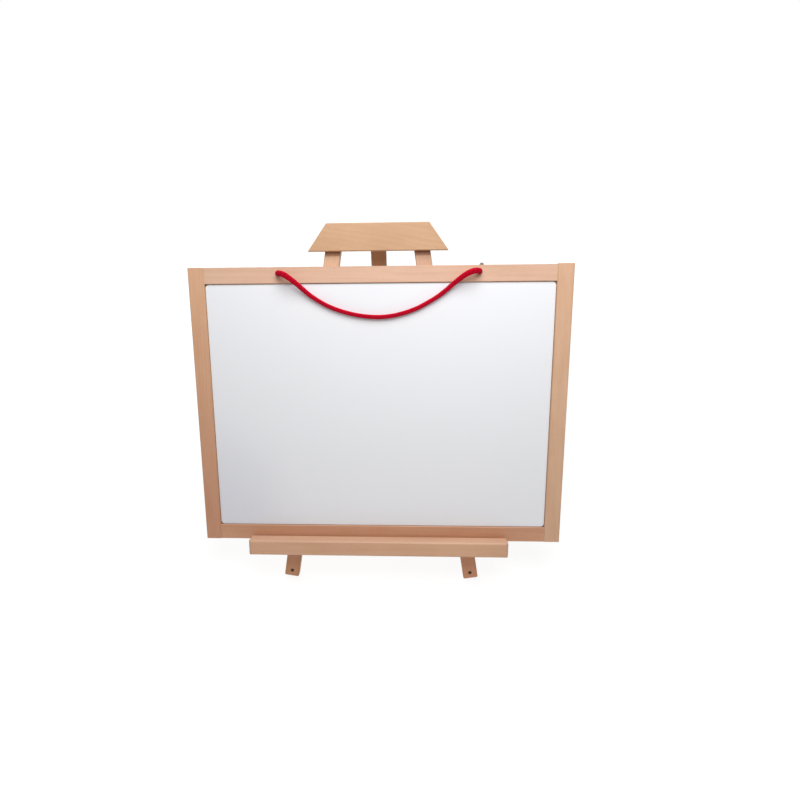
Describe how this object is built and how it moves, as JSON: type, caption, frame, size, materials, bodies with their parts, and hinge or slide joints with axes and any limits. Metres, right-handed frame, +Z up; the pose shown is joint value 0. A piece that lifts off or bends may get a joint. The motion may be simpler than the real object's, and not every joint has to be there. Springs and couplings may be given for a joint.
{
  "type": "magnetic desk whiteboard easel",
  "caption": "Framed magnetic whiteboard on a folding beech tabletop easel, with a rebated ledge, a trapezoid crown board and a hanging cord.",
  "frame": {"origin": "on the table top, under the middle of the object's footprint", "axes": "+X to the viewer's right along the board's width, +Y from the writing face to the rear leg, +Z up"},
  "size_m": [0.4, 0.2524, 0.3827],
  "materials": {
    "crown_beech": "sanded beech, flat-sawn grain, bare",
    "leg_beech": "sanded beech strip, bare",
    "ledge_beech": "sanded beech, rounded edges",
    "frame_beech": "steamed beech, satin",
    "white_lacquer": "glossy white lacquer on steel",
    "hardboard": "brown hardboard",
    "hinge_brass": "brass-plated steel, satin",
    "zinc_steel": "zinc-plated",
    "red_braid": "braided polyester cord"
  },
  "bodies": {
    "easel": {"crown_board": "crown_beech", "left_front_leg": "leg_beech", "right_front_leg": "leg_beech", "hinge_block": "leg_beech", "crown_screws": "zinc_steel", "block_screws": "zinc_steel", "ledge": "ledge_beech", "ledge_screws": "zinc_steel", "hinge_fixed_leaf": "hinge_brass", "hinge_pin": "zinc_steel", "hinge_fixed_screws": "zinc_steel"},
    "rear_leg": {"rear_leg": "leg_beech", "hinge_moving_leaf": "hinge_brass", "hinge_moving_screws": "zinc_steel"},
    "whiteboard": {"left_stile": "frame_beech", "right_stile": "frame_beech", "top_rail": "frame_beech", "bottom_rail": "frame_beech", "whiteboard_sheet": "white_lacquer", "backing_panel": "hardboard", "frame_brads": "zinc_steel", "hang_cord": "red_braid", "left_knot": "red_braid", "right_knot": "red_braid"}
  },
  "joints": [
    {"name": "rear_leg_fold", "type": "hinge", "parent": "easel", "child": "rear_leg", "pos_m": [-0.0008, 0.01338, 0.35521], "axis": [-1, 0, 0], "range_deg": [0, 34]},
    {"name": "whiteboard_lift", "type": "slide", "parent": "easel", "child": "whiteboard", "axis": [0, -0.0872, 0.9962], "range_m": [0, 0.12]}
  ]
}
